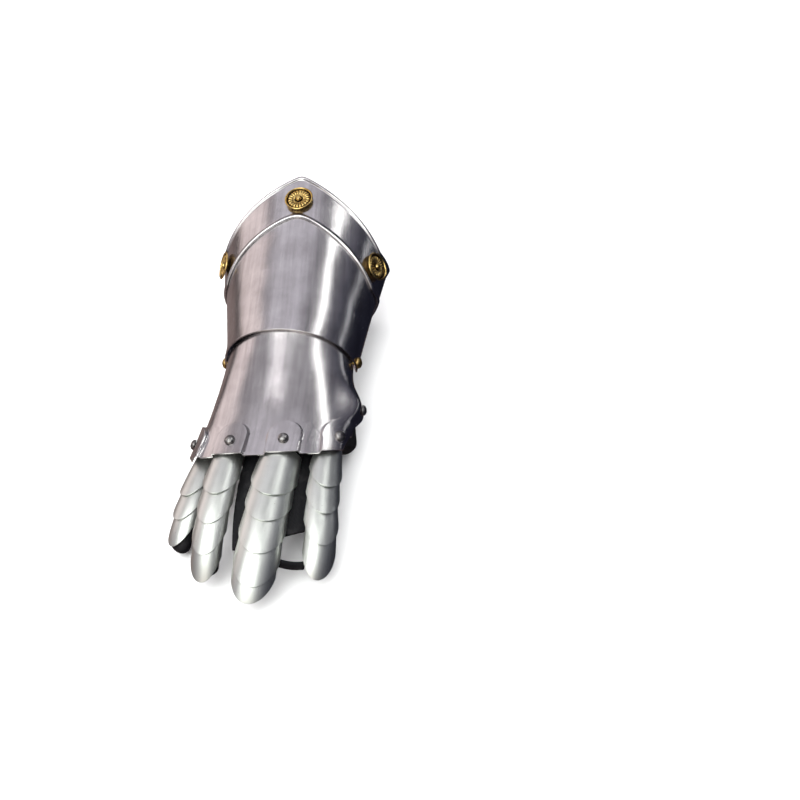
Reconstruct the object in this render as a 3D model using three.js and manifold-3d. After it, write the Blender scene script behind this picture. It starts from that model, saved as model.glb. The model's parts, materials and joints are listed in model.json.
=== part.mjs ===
// Armoured gauntlet for a right hand, lying palm down as it was put down.
// Millimetres, +Z up, +Y towards the elbow, +X on the thumb's side.
// The drawing starts from the wrist pivots: they lie at y = 0, and the last lines
// move the whole gauntlet so that its origin is under the middle of its outline.

import * as THREE from 'three';
import { mergeVertices } from 'three/addons/utils/BufferGeometryUtils.js';
import Module from 'manifold-3d';

const wasm = await Module();
wasm.setup();

// Sheet, leather and air
const sheet = 1.2;
const borderSheet = 1.0;
const leather = 1.8;
const gap = 0.3;

// Cuff: the flared tube round the wrist and forearm
const pivotHeight = 42;
const wristHalfWidth = 49.6;
const wristRise = 39.7;
const wristDepth = 34;
const mouthHalfWidth = 64;
const mouthRise = 52;
const mouthShift = -8.3;
const lowerTaper = 0.33;
const cuffSideLength = 97.5;
const cuffPeakLength = 139.5;
const undersideCutback = 9;
const peakTurn = 4;
const peakSpan = 65;
const peakRounding = 2;
const flareFrom = 6;
const flareCurve = 0.96;
const wristLip = 3.5;
const wristCutback = 30;

// Border band on the cuff's mouth, with a bead along it and a rolled rim
const borderSideWidth = 35.5;
const borderPeakWidth = 40;
const borderRounding = 6;
const beadWidth = 2.4;
const beadHeight = 0.8;
const rollRadius = 1.7;
const rollStand = gap + borderSheet / 2 + rollRadius;

// Hand plate: the arch over the back of the hand, inside the cuff at the wrist
const pivotClearance = 1.1;
const plateLength = 81;
const frontBulge = 17;
const knuckleHalfWidth = 56.5;
const knuckleRise = 13.5;
const knuckleBase = -9;
const knuckleSquareness = 2.1;
const knuckleSlant = 5;
const plateSkirtWrist = 4.5;
const plateSkirtKnuckle = 1;
const skirtTuck = 1.4;
const plateTailTurn = 22;
const plateTab = 5;
const bossHalfWidth = 12.5;
const bossLength = 28;
const bossHeight = 3;
const bossSlope = 2.4;
const sidePull = 8;
const cornerCut = 12;
const thumbBossHeight = 8;
const thumbBossPlace = 38;
const thumbBossReach = 15;
const thumbRivetTurn = 94;

// Rivets and rosettes
const pivotHead = 4.2;
const knuckleHead = 3.9;
const rivetFromEdge = 11.5;
const shankRadius = 1.5;
const shankClearance = 0.35;
const tailGap = 0.7;
const thumbTailGap = 1.4;
const pivotTailGap = 1.4;
const tailSheet = 0.8;
const rosetteRadius = 10.8;
const rosetteDish = 1.8;
const rosetteHeight = 3.9;

// Glove under the steel
const gloveClearance = 3;
const palmFront = plateLength - 13;
const palmHeel = 5;
const palmFlattening = 1.06;
const gloveTail = 14;
const gloveTailDepth = 25;
const loopWidth = 7;
const loopTurn = 100;
const loopBow = 1.5;
const loopStand = 1.3;
const webSheet = 1.8;
const webDrop = 5.5;

// Finger plates
const lameTurn = 82;
const lameOverlap = 6;
const lameEdgeCurve = 17;
const lameTuck = 7;
const lastLift = 1.2;
const fingerRoot = palmFront + gap * 1.5;
const rootGap = 0.8;
const tipStand = 0.45;
const fingerFlatness = 0.82;
const bendAcross = 0.45;
const bendAlong = 0.76;
const bendRise = 3;
const swingFrom = 0.62;

// A row for each finger: the turn of its knuckle boss on the hand plate, how far it leaves
// the hand from the middle, how far past the hand plate its tip lies and how far out, how
// far it turns about its own length, and half its width at the root and at the tip.
const fingers = [
  { name: 'little', turn: -80, rootX: -46.5, tipX: -61, past: 66, roll: -22, rootHalf: 8.2, tipHalf: 7.8 },
  { name: 'ring', turn: -24, rootX: -24.8, tipX: -34.5, past: 93, roll: 0, rootHalf: 9.6, tipHalf: 8.6 },
  { name: 'middle', turn: 15, rootX: 12.6, tipX: 4.3, past: 112, roll: 16, rootHalf: 13, tipHalf: 12.6 },
  { name: 'index', turn: 64, rootX: 41.3, tipX: 50, past: 90, roll: 34, rootHalf: 8.4, tipHalf: 9.4 },
];

// Where each finger plate ends and where the leather ends, along the finger from its root,
// and how far the finger's end swings inwards
const plateEnds = {
  little: { ends: [48, 64, 80.5], leatherEnd: 85, swing: 0 },
  ring: { ends: [57, 76.5, 95.5, 112.5], leatherEnd: 110, swing: 0 },
  middle: { ends: [60, 78, 98.5, 118, 127.5], leatherEnd: 124, swing: 3.5 },
  index: { ends: [46.5, 65.5, 85, 105], leatherEnd: 102, swing: 8.5 },
};

const thumb = {
  rootX: 34, rootY: -20, rootZ: 19, tipX: 46, tipY: -61, tipZ: 16, rootRadius: 11.5, tipRadius: 9.5,
};

// The leather webs between fingers: which two, and how far along each finger they reach
const webs = [
  { first: 'ring', second: 'middle', firstEnd: 90, secondEnd: 90, narrowing: 0.1 },
  { first: 'middle', second: 'index', firstEnd: 81, secondEnd: 70, narrowing: 1 },
];

// The loop: how far along each of its two fingers it is sewn on
const loop = { first: 'middle', second: 'index', firstAt: 100, secondAt: 100 };

// Finishes
const steel = new THREE.MeshStandardMaterial({ color: 0xa3a09d, metalness: 1, roughness: 0.28 });
const brightSteel = new THREE.MeshStandardMaterial({ color: 0xb9b9b4, metalness: 1, roughness: 0.34 });
const brass = new THREE.MeshStandardMaterial({ color: 0xb08a3a, metalness: 1, roughness: 0.36 });
const blackLeather = new THREE.MeshStandardMaterial({ color: 0x17161a, metalness: 0, roughness: 0.55 });

const gauntlet = new THREE.Group();

function radians(degrees) {
  return degrees * Math.PI / 180;
}

function mix(from, to, share) {
  return from + (to - from) * share;
}

function smooth(from, to, value) {
  const share = Math.min(1, Math.max(0, (value - from) / (to - from)));
  return share * share * (3 - 2 * share);
}

function steps(from, to, count) {
  return Array.from({ length: count + 1 }, (_, index) => mix(from, to, index / count));
}

// Rounded section: power 2 is an ellipse, and more is squarer
function bent(value, power) {
  return Math.sign(value) * Math.abs(value) ** (2 / power);
}

// Shared helpers for closed solids
function closedGeometry(positions, triangles) {
  let volume = 0;
  for (let index = 0; index < triangles.length; index += 3) {
    const [a, b, c] = [0, 1, 2].map(
      (corner) => new THREE.Vector3().fromArray(positions, triangles[index + corner] * 3),
    );
    volume += a.dot(b.cross(c));
  }
  const faces = volume < 0 ? triangles.slice().reverse() : triangles;
  const geometry = new THREE.BufferGeometry();
  geometry.setAttribute('position', new THREE.Float32BufferAttribute(positions, 3));
  geometry.setIndex(faces);
  return geometry;
}

function tidied(geometry) {
  const bare = geometry.clone();
  bare.deleteAttribute('normal');
  bare.deleteAttribute('uv');
  const merged = mergeVertices(bare, 1e-4);
  const faces = [];
  const index = merged.index.array;
  for (let corner = 0; corner < index.length; corner += 3) {
    const [a, b, c] = [index[corner], index[corner + 1], index[corner + 2]];
    if (a !== b && b !== c && c !== a) faces.push(a, b, c);
  }
  return closedGeometry(Array.from(merged.attributes.position.array), faces);
}

function toSolid(geometry) {
  const mesh = new wasm.Mesh({
    numProp: 3,
    vertProperties: new Float32Array(geometry.attributes.position.array),
    triVerts: new Uint32Array(geometry.index.array),
  });
  return new wasm.Manifold(mesh);
}

function toGeometry(solid) {
  const mesh = solid.getMesh();
  return closedGeometry(Array.from(mesh.vertProperties), Array.from(mesh.triVerts));
}

function cutWith(geometry, tools) {
  const solid = tools.reduce((left, tool) => left.subtract(toSolid(tool)), toSolid(geometry));
  return toGeometry(solid);
}

// A bent sheet: an outside and an inside face joined along all their edges
function sheetSolid({ across, along, outside, inside, closed }) {
  const positions = [];
  const triangles = [];
  const rows = along.length;
  const columns = across.length;
  for (const face of [outside, inside]) {
    for (const turn of across) {
      for (const share of along) positions.push(...face(turn, share).toArray());
    }
  }
  const point = (side, column, row) => side * columns * rows + (column % columns) * rows + row;
  const quad = (a, b, c, d) => triangles.push(a, b, c, a, c, d);
  const strips = closed ? columns : columns - 1;
  for (let column = 0; column < strips; column += 1) {
    for (let row = 0; row < rows - 1; row += 1) {
      const next = column + 1;
      quad(point(0, column, row), point(0, next, row), point(0, next, row + 1), point(0, column, row + 1));
      quad(point(1, column, row), point(1, column, row + 1), point(1, next, row + 1), point(1, next, row));
    }
    const last = rows - 1;
    quad(point(0, column, 0), point(1, column, 0), point(1, column + 1, 0), point(0, column + 1, 0));
    const [start, next] = [column, column + 1];
    quad(point(0, start, last), point(0, next, last), point(1, next, last), point(1, start, last));
  }
  if (!closed) {
    const end = columns - 1;
    for (let row = 0; row < rows - 1; row += 1) {
      quad(point(0, 0, row), point(0, 0, row + 1), point(1, 0, row + 1), point(1, 0, row));
      quad(point(0, end, row), point(1, end, row), point(1, end, row + 1), point(0, end, row + 1));
    }
  }
  return closedGeometry(positions, triangles);
}

// A body through closed rings of points, capped at both ends
function loftSolid(rings) {
  const count = rings[0].length;
  const positions = rings.flat().flatMap((point) => point.toArray());
  const triangles = [];
  for (let ring = 0; ring < rings.length - 1; ring += 1) {
    for (let index = 0; index < count; index += 1) {
      const next = (index + 1) % count;
      const [a, b] = [ring * count + index, ring * count + next];
      triangles.push(a, b, b + count, a, b + count, a + count);
    }
  }
  for (const [ring, forward] of [[0, false], [rings.length - 1, true]]) {
    const sum = rings[ring].reduce((total, point) => total.add(point), new THREE.Vector3());
    const centre = sum.divideScalar(count);
    const hub = positions.length / 3;
    positions.push(...centre.toArray());
    for (let index = 0; index < count; index += 1) {
      const [a, b] = [ring * count + index, ring * count + (index + 1) % count];
      if (forward) triangles.push(hub, a, b);
      else triangles.push(hub, b, a);
    }
  }
  return closedGeometry(positions, triangles);
}

// Moves a surface's point out along its own normal
function lifted(surface, turn, share, lift) {
  const step = 1e-3;
  const across = surface(turn + step, share).sub(surface(turn - step, share));
  const along = surface(turn, share + step).sub(surface(turn, share - step));
  const normal = across.cross(along).normalize();
  return { point: surface(turn, share).addScaledVector(normal, lift), normal };
}

// A piece turned on its own axis and stood on a surface's normal
function turnedPiece(profile, sides, place) {
  const points = profile.map((row) => new THREE.Vector2(row.radius, row.height));
  const geometry = tidied(new THREE.LatheGeometry(points, sides));
  const upright = new THREE.Quaternion().setFromUnitVectors(new THREE.Vector3(0, 1, 0), place.normal);
  geometry.applyQuaternion(upright);
  geometry.translate(place.point.x, place.point.y, place.point.z);
  return geometry;
}

function drillFor(place, depth) {
  const radius = shankRadius + shankClearance;
  const profile = [
    { radius: 0, height: -depth },
    { radius, height: -depth },
    { radius, height: depth },
    { radius: 0, height: depth },
  ];
  return turnedPiece(profile, 10, place);
}

function addPiece(name, geometry, material) {
  const mesh = new THREE.Mesh(geometry, material);
  mesh.name = name;
  gauntlet.add(mesh);
}

// The cuff's outside: an ellipse that grows from the wrist to the mouth
function cuffSection(turn, y) {
  const grown = (Math.max(0, y - flareFrom) / (cuffSideLength - flareFrom)) ** flareCurve;
  const angle = radians(turn);
  const halfWidth = mix(wristHalfWidth, mouthHalfWidth, grown);
  const rise = mix(wristRise, mouthRise, grown);
  const depth = mix(wristDepth, pivotHeight - rollStand, grown);
  const height = Math.cos(angle) > 0 ? rise : depth;
  const taper = 1 - lowerTaper * grown * Math.max(0, -Math.cos(angle));
  const x = halfWidth * Math.sin(angle) * taper + mouthShift * grown;
  return new THREE.Vector3(x, y, pivotHeight + height * Math.cos(angle));
}

function peakShare(turn, rounding) {
  const away = Math.hypot(turn - peakTurn, rounding) - rounding;
  return Math.max(0, 1 - away / peakSpan) ** 1.1;
}

function cuffStart(turn) {
  return mix(-wristLip, wristCutback, smooth(97, 150, Math.abs(turn)));
}

function undersideCut(turn) {
  return undersideCutback * smooth(85, 150, Math.abs(turn));
}

function mouthLine(turn) {
  return mix(cuffSideLength, cuffPeakLength, peakShare(turn, peakRounding)) - undersideCut(turn);
}

function borderLine(turn) {
  const side = cuffSideLength - borderSideWidth;
  return mix(side, cuffPeakLength - borderPeakWidth, peakShare(turn, borderRounding)) - undersideCut(turn);
}

const cuffTurns = steps(-180, 180, 36).slice(0, -1);

function cuffPlace(turn, y) {
  const { point, normal } = lifted(cuffSection, turn, y, 0);
  if (normal.z * Math.cos(radians(turn)) + normal.x * Math.sin(radians(turn)) < 0) normal.negate();
  return { point, normal };
}

function cuffLifted(turn, y, lift) {
  const { point, normal } = cuffPlace(turn, y);
  return point.addScaledVector(normal, lift);
}

const cuffEnd = (turn) => mouthLine(turn) - 2 * rollRadius - gap;
const rosettePlaces = [
  { name: 'rosette_centre', turn: peakTurn, across: 0.4 },
  { name: 'rosette_left', turn: peakTurn - 68, across: 0.5 },
  { name: 'rosette_right', turn: peakTurn + 66, across: 0.5 },
].map((row) => ({
  ...row, place: cuffPlace(row.turn, mix(borderLine(row.turn), mouthLine(row.turn), row.across)),
}));

const pivotPlaces = [
  { name: 'wrist_rivet_left', turn: -90 },
  { name: 'wrist_rivet_right', turn: 90 },
].map((row) => ({ ...row, place: cuffPlace(row.turn, 0) }));
for (const { place } of pivotPlaces) place.normal.set(Math.sign(place.point.x), 0, 0);

function makeCuff() {
  const shares = [0, 0.09, 0.28, 0.5, 0.72, 0.88, 1];
  const face = (lift) => (turn, share) => cuffLifted(turn, mix(cuffStart(turn), cuffEnd(turn), share), lift);
  const shell = sheetSolid({
    across: cuffTurns, along: shares, outside: face(0), inside: face(-sheet), closed: true,
  });
  const drills = [...rosettePlaces, ...pivotPlaces].map((row) => drillFor(row.place, 2 * sheet));
  return cutWith(shell, drills);
}

// Rows run from the border's lower edge to its rolled rim. Each gives how far the row
// lies from that edge or from the rim, and how far its two faces stand off the cuff.
function makeBorder() {
  const top = gap + borderSheet;
  const middle = gap + borderSheet / 2;
  const rows = [
    { fromEdge: 0, out: top, in: gap },
    { fromEdge: beadWidth * 0.3, out: top + beadHeight, in: gap },
    { fromEdge: beadWidth * 0.7, out: top + beadHeight, in: gap },
    { fromEdge: beadWidth, out: top, in: gap },
    { fromRim: 2 * rollRadius, out: top, in: gap },
  ];
  for (const degrees of [40, 75, 110, 150]) {
    const bulge = rollRadius * Math.sin(radians(degrees));
    rows.push({
      fromRim: rollRadius * (1 + Math.cos(radians(degrees))), out: middle + bulge, in: middle - bulge,
    });
  }
  const face = (side) => (turn, index) => {
    const row = rows[index];
    const y = row.fromRim === undefined ? borderLine(turn) + row.fromEdge : mouthLine(turn) - row.fromRim;
    return cuffLifted(turn, y, row[side]);
  };
  const shell = sheetSolid({
    across: cuffTurns, along: rows.map((_, index) => index),
    outside: face('out'), inside: face('in'), closed: true,
  });
  return cutWith(shell, rosettePlaces.map((row) => drillFor(row.place, 3 * sheet)));
}

function rosetteProfile() {
  const base = gap + borderSheet + gap;
  const grip = sheet + tailGap;
  return [
    { radius: 0, height: -grip - tailSheet },
    { radius: 2 * shankRadius, height: -grip - tailSheet },
    { radius: 2 * shankRadius, height: -grip },
    { radius: shankRadius, height: -grip },
    { radius: shankRadius, height: base },
    { radius: rosetteRadius * 0.4, height: base },
    { radius: rosetteRadius * 0.94, height: base + rosetteDish },
    { radius: rosetteRadius, height: base + rosetteDish + 0.6 },
    { radius: rosetteRadius * 0.92, height: base + rosetteDish + 1.4 },
    { radius: rosetteRadius * 0.8, height: base + rosetteDish + 0.6 },
    { radius: rosetteRadius * 0.42, height: base + rosetteDish * 0.6 + 0.9 },
    { radius: rosetteRadius * 0.3, height: base + rosetteHeight * 0.75 },
    { radius: rosetteRadius * 0.14, height: base + rosetteHeight },
    { radius: 0, height: base + rosetteHeight },
  ];
}

function rivetProfile(head, grip) {
  const dome = [75, 40].map((degrees) => ({
    radius: head * Math.sin(radians(degrees)),
    height: gap + head * 0.75 * Math.cos(radians(degrees)),
  }));
  return [
    { radius: 0, height: -grip - tailSheet },
    { radius: 2 * shankRadius, height: -grip - tailSheet },
    { radius: 2 * shankRadius, height: -grip },
    { radius: shankRadius, height: -grip },
    { radius: shankRadius, height: gap },
    { radius: head, height: gap },
    ...dome,
    { radius: 0, height: gap + head * 0.75 },
  ];
}

// The hand plate's sections, from the wrist (share 0) to the knuckle edge (share 1)
const plateWristHalfWidth = wristHalfWidth - sheet - pivotClearance;
const plateWristRise = wristRise - sheet - pivotClearance;

function plateHalfWidth(share) {
  return mix(plateWristHalfWidth, knuckleHalfWidth, share ** 1.4);
}

// How far the plate reaches from the wrist pivots along each line of its arch
function plateReach(turn) {
  const angle = radians(Math.max(-90, Math.min(90, turn)));
  return plateLength - knuckleSlant * turn / 90 + frontBulge * Math.cos(angle);
}

function plateSection(turn, share, inset) {
  const fall = 1 - (1 - share) ** 2;
  const power = mix(2, knuckleSquareness, share * share);
  const halfWidth = plateHalfWidth(share) - inset;
  const base = mix(0, knuckleBase, share);
  const rise = mix(plateWristRise, knuckleRise, fall) - base - inset;
  const angle = radians(Math.max(-90, Math.min(90, turn)));
  const below = Math.max(0, Math.abs(turn) - 90) / 10;
  const length = plateReach(turn);
  const fromThumb = (share * length - thumbBossPlace) / thumbBossReach;
  const swell = thumbBossHeight * smooth(55, 85, turn) * Math.exp(-(fromThumb ** 2));
  const tuck = skirtTuck * below * (1 - share) * Math.sign(turn);
  const skirt = below * (mix(plateSkirtWrist, plateSkirtKnuckle, share) + swell);
  const x = halfWidth * bent(Math.sin(angle), power) + swell - tuck;
  const z = base + rise * bent(Math.cos(angle), power) - skirt;
  return new THREE.Vector3(x, -share * length, pivotHeight + z);
}

// Knuckle bosses: tongues with round backs, raised out of the sheet
function bossLift(turn, share) {
  let lift = 0;
  for (const finger of fingers) {
    const here = plateSection(turn, share, 0);
    const middle = plateSection(finger.turn, share, 0);
    const side = Math.hypot(here.x - middle.x, here.z - middle.z);
    const back = Math.max(0, (1 - share) * plateReach(turn) - (bossLength - bossHalfWidth));
    const raised = smooth(bossHalfWidth, bossHalfWidth - bossSlope, Math.hypot(side, back));
    lift = Math.max(lift, bossHeight * raised);
  }
  return lift;
}

function platePoint(turn, share, depth) {
  if (share >= 0) {
    const probe = (a, b) => plateSection(a, b, 0);
    const { normal } = lifted(probe, Math.max(-99, Math.min(99, turn)), Math.max(share, 0.002), 0);
    const flat = Math.abs(turn) >= 90 ? new THREE.Vector3(Math.sign(turn), 0, 0) : normal;
    if (flat.x * Math.sin(radians(turn)) + flat.z * Math.cos(radians(turn)) < 0) flat.negate();
    const point = plateSection(turn, share, 0).addScaledVector(flat, bossLift(turn, share) - depth);
    point.x -= sidePull * share ** 7 * smooth(62, 92, turn);
    return point;
  }
  // The hidden tail turns about the pivots, so that the hand swings inside the cuff
  const start = plateSection(turn, 0, depth);
  const height = Math.max(0, start.z - pivotHeight);
  const swing = radians(plateTailTurn) * -share;
  const tab = plateTab * -share * (1 - height / plateWristRise);
  return new THREE.Vector3(
    start.x * (1 + 0.03 * share * height / plateWristRise),
    height * Math.sin(swing) + tab,
    start.z - height * (1 - Math.cos(swing)),
  );
}

function platePlace(turn, share) {
  const point = platePoint(turn, share, 0);
  const across = platePoint(turn + 0.5, share, 0).sub(platePoint(turn - 0.5, share, 0));
  const along = platePoint(turn, share + 0.005, 0).sub(platePoint(turn, share - 0.005, 0));
  const normal = across.cross(along).normalize();
  if (normal.x * Math.sin(radians(turn)) + normal.z * Math.cos(radians(turn)) < 0) normal.negate();
  return { point, normal };
}

const knucklePlaces = fingers.map((finger) => ({
  name: `knuckle_rivet_${finger.name}`,
  place: platePlace(finger.turn, 1 - rivetFromEdge / plateReach(finger.turn)),
}));
const thumbPlace = platePlace(thumbRivetTurn, thumbBossPlace / plateReach(thumbRivetTurn));

// Turns that lie evenly along the plate's front edge
function evenTurns(count) {
  const fine = steps(-90, 90, 360);
  const runs = [0];
  for (let index = 1; index < fine.length; index += 1) {
    const step = plateSection(fine[index], 1, 0).distanceTo(plateSection(fine[index - 1], 1, 0));
    runs.push(runs[index - 1] + step);
  }
  return steps(0, runs.at(-1), count).map((run) => fine[runs.findIndex((value) => value >= run - 1e-6)]);
}

function makeHandPlate() {
  const turns = new Set([-100, -95, -90, 90, 95, 100, ...evenTurns(28)]);
  const across = [...turns].filter((turn) => Math.abs(turn) <= 100).sort((a, b) => a - b);
  const along = [-1, -0.5, 0, 0.14, 0.32, 0.5, 0.67, 0.72, 0.77, 0.83, 0.92, 1];
  // The front corner on the thumb's side is cut back
  const face = (depth) => (turn, share) => {
    const trim = cornerCut * smooth(74, 88, turn) * smooth(0.6, 1, share) / plateReach(turn);
    return platePoint(turn, share - trim, depth);
  };
  const shell = sheetSolid({ across, along, outside: face(0), inside: face(sheet), closed: false });
  const pivots = pivotPlaces.map((row) => drillFor(row.place, 3 * sheet + pivotClearance));
  const heads = [...knucklePlaces.map((row) => row.place), thumbPlace];
  const knuckles = heads.map((place) => drillFor(place, 2 * sheet));
  return cutWith(shell, [...pivots, ...knuckles]);
}

// A finger's root lies as high under the hand plate as its first plate lets it
function rootHeight(x, half) {
  const heights = steps(-90, 90, 60).map((turn) => {
    const roof = plateSection(turn, palmFront / plateReach(turn), sheet);
    const side = Math.abs(roof.x - x) / half;
    return side < 1 ? roof.z - half * fingerFlatness * Math.sqrt(1 - side * side) : Infinity;
  });
  return Math.min(...heights);
}

// A gloved finger's own line, from the hand to its tip
function fingerLine(row) {
  const reach = row.rootHalf + gap + sheet + rootGap;
  const root = new THREE.Vector3(row.rootX, -fingerRoot, rootHeight(row.rootX, reach));
  const tip = new THREE.Vector3(row.tipX, -plateLength - row.past, row.tipHalf * tipStand);
  const bend = new THREE.Vector3(
    mix(root.x, tip.x, bendAcross), mix(root.y, tip.y, bendAlong), root.z + bendRise,
  );
  return new THREE.QuadraticBezierCurve3(root, bend, tip);
}

function fingerFrame(row, line, share) {
  const along = line.getTangentAt(Math.min(1, Math.max(0, share)));
  const centre = line.getPointAt(Math.min(1, Math.max(0, share)));
  const { swing } = plateEnds[row.name];
  const swung = Math.max(0, Math.min(1, share) - swingFrom) / (1 - swingFrom);
  centre.x -= swing * swung ** 2;
  along.x -= swing * 2 * swung / ((1 - swingFrom) * line.getLength());
  along.normalize();
  const roll = radians(row.roll) * (1 - 0.3 * share);
  const up = new THREE.Vector3(Math.sin(roll), 0, Math.cos(roll));
  up.addScaledVector(along, -up.dot(along)).normalize();
  const side = up.clone().cross(along);
  return { centre, side, up, along };
}

function fingerHalf(row, share) {
  return mix(row.rootHalf, row.tipHalf, share);
}

// A point on the finger's oval section, some way out from the leather
function roundFinger(row, line, share, turn, out) {
  const { centre, side, up } = fingerFrame(row, line, share);
  const half = fingerHalf(row, Math.min(1, Math.max(0, share)));
  const angle = radians(turn);
  const across = (half + out) * Math.sin(angle);
  const rise = (half * fingerFlatness + out) * Math.cos(angle);
  return centre.addScaledVector(side, across).addScaledVector(up, rise);
}

// Ends a finger in the flat plane where it meets the palm
function squareOff(point, line) {
  const along = line.getTangentAt(0);
  point.addScaledVector(along, (-fingerRoot - point.y) / along.y);
}

function makeGloveFinger(row, line) {
  const length = line.getLength();
  const turns = steps(0, 360, 12).slice(0, -1);
  const ringAt = (share, out, floor) => turns.map((turn) => {
    const point = roundFinger(row, line, share, turn, out);
    if (share === 0) squareOff(point, line);
    point.z = Math.max(point.z, floor);
    return point;
  });
  const end = plateEnds[row.name].leatherEnd / length;
  const rounding = row.tipHalf * 0.5 / length;
  const stations = [0, 0.22, 0.45, 0.65, 0.82].map((share) => share * end);
  const outer = [...stations, end - rounding].map((share) => ringAt(share, 0, 0));
  outer.push(ringAt(end, -row.tipHalf * 0.4, 0));
  const inner = [...stations, end - 2.2 * leather / length].map((share) => ringAt(share, -leather, leather));
  const start = line.getTangentAt(0).multiplyScalar(-leather);
  inner.unshift(inner[0].map((point) => point.clone().add(start)));
  return cutWith(loftSolid(outer), [loftSolid(inner)]);
}

// How far a finger plate rises along its length, so that the next one slips under it
function lameLift(row, number) {
  const { ends } = plateEnds[row.name];
  if (number === ends.length - 1) return lastLift;
  const start = number ? ends[number - 1] - lameOverlap : plateReach(row.turn) - lameTuck - fingerRoot;
  const length = ends[number] - start - (number ? 0 : lameEdgeCurve);
  const nextRise = lameLift(row, number + 1) * lameOverlap / (ends[number + 1] - ends[number] + lameOverlap);
  return 1.06 * Math.max((sheet + gap) / (1 - lameOverlap / length), sheet + gap + nextRise);
}

function makeLame(row, line, number) {
  const length = line.getLength();
  const { ends } = plateEnds[row.name];
  const begin = number ? ends[number - 1] - lameOverlap : plateReach(row.turn) - lameTuck - fingerRoot;
  const finish = ends[number];
  const lift = lameLift(row, number);
  const turns = steps(-lameTurn, lameTurn, 9);
  const face = (depth) => (turn, part) => {
    const back = lameEdgeCurve * (turn / lameTurn) ** 2;
    const place = mix(number ? begin - back : begin, finish - back, part);
    const share = place / length;
    const point = roundFinger(row, line, share, turn, gap + lift * part + depth);
    if (share > 1) point.addScaledVector(fingerFrame(row, line, 1).along, place - length);
    return point;
  };
  return sheetSolid({
    across: turns, along: [0, 0.5, 1], outside: face(sheet), inside: face(0), closed: false,
  });
}

// The glove's palm: a hollow leather body under the hand plate, flat where it lies
function palmRing(y, inset) {
  const share = Math.min(1, Math.max(0, -y / (plateLength + frontBulge)));
  const turns = steps(-180, 180, 24).slice(0, -1);
  const inside = sheet + gloveClearance + inset;
  const tail = smooth(-palmHeel, gloveTail, y);
  const floor = mix(pivotHeight, gloveTailDepth, tail) - inset;
  const squareness = mix(3.2, 2, tail);
  return turns.map((turn) => {
    const angle = radians(turn);
    const ahead = Math.max(-90, Math.min(90, turn));
    const arch = plateSection(ahead, Math.max(0, -y / plateReach(ahead)), inside);
    if (Math.abs(turn) <= 90) {
      const swing = Math.min(1, Math.max(0, y / plateWristRise));
      const height = arch.z - pivotHeight;
      arch.z = pivotHeight + height * (height > 0 ? Math.sqrt(1 - swing * swing) : 1);
      arch.y = y;
      if (turn > 60) arch.x = Math.min(arch.x, plateHalfWidth(share) - inside);
      return arch;
    }
    const base = mix(0, knuckleBase, share);
    const taper = 1 - mix(0.22, 0, tail) * bent(-Math.cos(angle), 2.2);
    const halfWidth = plateHalfWidth(share) - inside;
    const depth = (floor + base) * palmFlattening * bent(-Math.cos(angle), squareness);
    const z = Math.max(pivotHeight + base - depth, pivotHeight - floor);
    return new THREE.Vector3(halfWidth * bent(Math.sin(angle), squareness) * taper, y, z);
  });
}

const palmStations = [
  -palmFront, -palmFront * 0.82, -palmFront * 0.56, -palmFront * 0.27, -palmHeel, 2, 8, gloveTail,
];

function thumbRings(inset) {
  const root = new THREE.Vector3(thumb.rootX, thumb.rootY, thumb.rootZ);
  const tip = new THREE.Vector3(thumb.tipX, thumb.tipY, thumb.tipZ);
  const line = new THREE.LineCurve3(root, tip);
  const length = line.getLength();
  const along = line.getTangent(0);
  const up = new THREE.Vector3(0, 0, 1);
  up.addScaledVector(along, -up.dot(along)).normalize();
  const side = up.clone().cross(along);
  const turns = steps(0, 360, 12).slice(0, -1);
  const ends = [0, 0.5, 1 - 4.5 / length, 1 - inset / length];
  return ends.map((share, index) => {
    const full = mix(thumb.rootRadius, thumb.tipRadius, share) - inset;
    const radius = index === 3 ? full * 0.6 : full;
    return turns.map((turn) => line.getPoint(share)
      .addScaledVector(side, radius * Math.sin(radians(turn)))
      .addScaledVector(up, radius * Math.cos(radians(turn))));
  });
}

function makePalm(lines) {
  const outer = loftSolid(palmStations.map((y) => palmRing(y, 0)));
  const hollowStations = palmStations.map((y) => Math.max(y, leather - palmFront));
  const hollowRings = hollowStations.map((y) => palmRing(y, leather));
  hollowRings.push(hollowRings.at(-1).map((point) => point.clone().add(new THREE.Vector3(0, leather, 0))));
  const bores = fingers.map((row, index) => {
    const line = lines[index];
    const back = line.getTangentAt(0).multiplyScalar(-3 * leather);
    const turns = steps(0, 360, 12).slice(0, -1);
    const mouth = turns.map((turn) => roundFinger(row, line, 0, turn, -leather));
    const rings = [-1, 1].map((way) => mouth.map((point) => point.clone().addScaledVector(back, way)));
    return loftSolid(rings);
  });
  const skin = toGeometry(toSolid(outer).add(toSolid(loftSolid(thumbRings(0)))));
  return cutWith(skin, [loftSolid(hollowRings), ...bores, loftSolid(thumbRings(leather))]);
}

function fingerNumber(name) {
  return fingers.findIndex((row) => row.name === name);
}

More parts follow.
